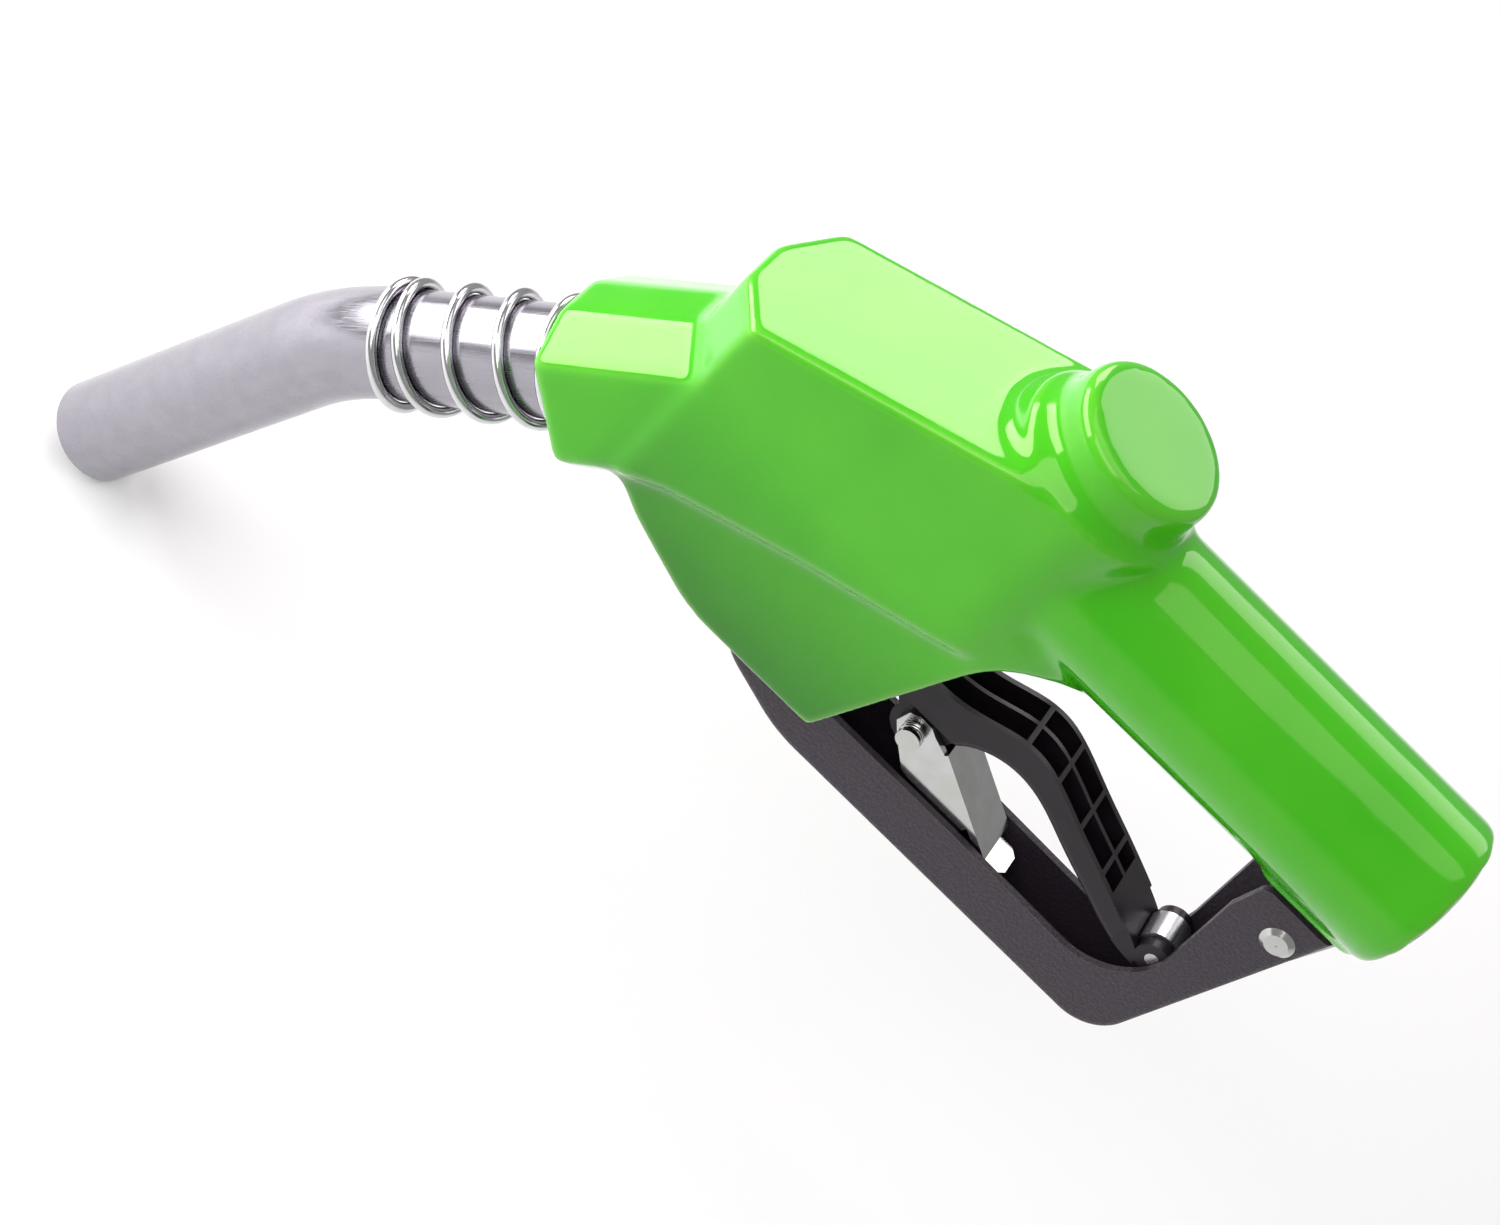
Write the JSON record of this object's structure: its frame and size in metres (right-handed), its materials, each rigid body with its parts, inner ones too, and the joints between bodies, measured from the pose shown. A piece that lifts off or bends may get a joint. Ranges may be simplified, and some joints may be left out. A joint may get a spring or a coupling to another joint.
{
  "type": "fuel nozzle",
  "caption": "Automatic shut-off fuel nozzle: soft sleeve over a cast body, bent metal spout with anchor spring, sprung lever in a stamped hand guard.",
  "frame": {"origin": "centre of the hose inlet's end face, at the rear of the handle", "axes": "+X along the handle from the hose inlet towards the spout end, +Z towards the valve cap (up with the handle level), +Y to the left looking along +X"},
  "size_m": [0.343, 0.052, 0.2726],
  "materials": {
    "sleeve_skin": "glossy dipped PVC",
    "cast_body": "sand-blasted cast aluminium",
    "brass": "turned brass",
    "seal_rubber": "nitrile rubber",
    "bright_steel": "turned stainless steel",
    "spring_steel": "bright spring wire",
    "spout_metal": "satin drawn tube",
    "guard_powder_coat": "fine-textured black powder coat",
    "plated_steel": "zinc-plated sheet steel",
    "lever_plastic": "glass-filled black nylon",
    "roller_steel": "rolled steel sleeve"
  },
  "bodies": {
    "body": {"anchor_spring": "spring_steel", "body_casting": "cast_body", "cap_seal": "seal_rubber", "check_retainer": "brass", "check_seat": "brass", "check_spring": "spring_steel", "diaphragm": "seal_rubber", "diaphragm_spring": "spring_steel", "gland_nut": "brass", "guard": "guard_powder_coat", "guard_rivet": "plated_steel", "guard_screws": "bright_steel", "hold_open_rack": "plated_steel", "latch_ring": "bright_steel", "poppet_spring": "spring_steel", "rack_rivets": "plated_steel", "sensing_tube": "brass", "sleeve": "sleeve_skin", "spout_nut": "spout_metal", "spout_seal": "seal_rubber", "spout_tube": "spout_metal", "stem_packing": "seal_rubber", "trip_seal": "seal_rubber", "trip_spring": "spring_steel", "vacuum_cover": "cast_body", "vacuum_cover_screws": "bright_steel", "valve_cap": "cast_body"},
    "valve": {"main_poppet": "brass", "poppet_seal": "seal_rubber", "valve_stem": "bright_steel"},
    "trip": {"trip_plunger": "bright_steel", "latch_balls": "bright_steel", "lever_pivot_pin": "bright_steel", "pivot_clips": "bright_steel"},
    "vacuum_pin": {"latch_pin": "brass"},
    "check": {"check_poppet": "brass"},
    "lever": {"lever": "lever_plastic", "stem_pad": "bright_steel", "lever_tip_roller": "roller_steel", "lever_tip_pin": "bright_steel", "latch_hinge_pin": "plated_steel"},
    "latch": {"hold_open_latch": "plated_steel", "latch_spring": "spring_steel"}
  },
  "joints": [
    {"name": "trip_drop", "type": "slide", "parent": "body", "child": "trip", "axis": [0, 0, -1], "range_m": [0, 0.004], "stiffness_N_per_m": 2000, "springref_m": -0.004, "deforming": ["trip_spring"]},
    {"name": "lever_pull", "type": "hinge", "parent": "trip", "child": "lever", "pos_m": [0.178, 0, -0.06], "axis": [0, 1, 0], "range_deg": [0, 11], "stiffness_Nm_per_rad": 0.8, "springref_deg": -17.19},
    {"name": "valve_lift", "type": "slide", "parent": "body", "child": "valve", "axis": [-0.1063, 0, 0.9943], "range_m": [0, 0.0085], "deforming": ["poppet_spring"]},
    {"name": "latch_swing", "type": "hinge", "parent": "lever", "child": "latch", "pos_m": [0.112, 0, -0.073], "axis": [0, -1, 0], "range_deg": [0, 8], "stiffness_Nm_per_rad": 0.03, "springref_deg": -28.65, "deforming": ["latch_spring"]},
    {"name": "diaphragm_pull", "type": "slide", "parent": "body", "child": "vacuum_pin", "axis": [0, 0, 1], "range_m": [0, 0.002], "stiffness_N_per_m": 400, "springref_m": -0.002, "deforming": ["diaphragm", "diaphragm_spring"]},
    {"name": "check_open", "type": "slide", "parent": "body", "child": "check", "axis": [0.6934, 0, -0.7206], "range_m": [0, 0.006], "stiffness_N_per_m": 300, "springref_m": -0.004, "deforming": ["check_spring"]}
  ],
  "couplings": [
    {"joint": "valve_lift", "follows": "lever_pull", "m_per_rad": 0.041}
  ]
}
